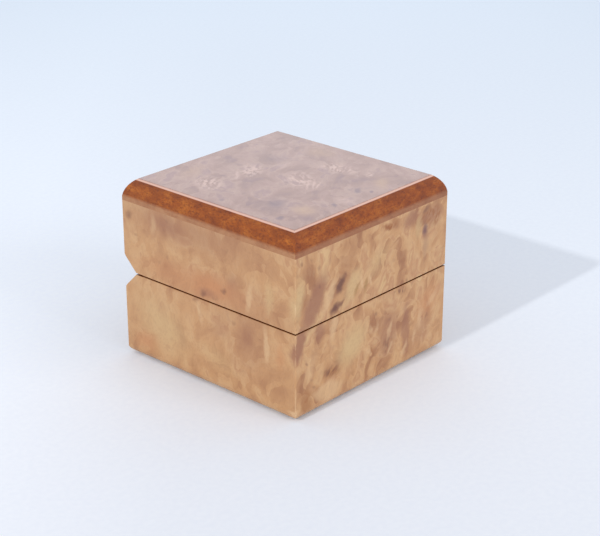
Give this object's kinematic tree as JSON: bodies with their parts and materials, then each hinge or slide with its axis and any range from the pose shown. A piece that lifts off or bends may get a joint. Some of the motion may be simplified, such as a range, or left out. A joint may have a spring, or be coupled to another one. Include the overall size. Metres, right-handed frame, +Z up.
{
  "type": "jewellery box",
  "caption": "Small near-cubic wooden jewellery box in burl veneer with a moulded brown lid edge, a hinged lid, and a lined inside with ring rolls and an open compartment.",
  "frame": {"origin": "middle of the underside, on the table the box stands on", "axes": "+X to the box's right as its front is looked at, -Y out of the opening front, +Y to the hinged back, +Z up"},
  "size_m": [0.098, 0.1004, 0.0818],
  "materials": {
    "burl_veneer": "burl veneer under gloss lacquer",
    "lipping_wood": "stained hardwood under gloss lacquer",
    "core_board": "bare board",
    "felt": "pressed felt",
    "velvet": "short-pile velvet",
    "satin": "satin weave over foam",
    "brass": "polished, light handling wear",
    "brad_steel": "bright drawn wire"
  },
  "bodies": {
    "base": {"base_front_wall": "burl_veneer", "base_back_wall": "burl_veneer", "base_left_wall": "burl_veneer", "base_right_wall": "burl_veneer", "base_floor": "core_board", "underside_felt": "felt", "base_lining_front": "velvet", "base_lining_back": "velvet", "base_lining_left": "velvet", "base_lining_right": "velvet", "floor_lining": "velvet", "divider": "velvet", "ring_roll_1": "velvet", "ring_roll_2": "velvet", "ring_roll_3": "velvet", "hinge_base_leaf_left": "brass", "hinge_base_leaf_right": "brass", "hinge_pin_left": "brass", "hinge_pin_right": "brass", "base_hinge_brads": "brad_steel"},
    "lid": {"lid_front_wall": "burl_veneer", "lid_back_wall": "burl_veneer", "lid_left_wall": "burl_veneer", "lid_right_wall": "burl_veneer", "lid_top_panel": "core_board", "lid_top_veneer": "burl_veneer", "lid_lipping_front": "lipping_wood", "lid_lipping_back": "lipping_wood", "lid_lipping_left": "lipping_wood", "lid_lipping_right": "lipping_wood", "lid_lining_front": "velvet", "lid_lining_back": "velvet", "lid_lining_left": "velvet", "lid_lining_right": "velvet", "lid_pad": "satin", "hinge_lid_leaf_left": "brass", "hinge_lid_leaf_right": "brass", "lid_hinge_brads": "brad_steel"}
  },
  "joints": [
    {"name": "lid_hinge", "type": "hinge", "parent": "base", "child": "lid", "pos_m": [0, 0.04488, 0.0397], "axis": [-1, 0, 0], "range_deg": [0, 110]}
  ]
}
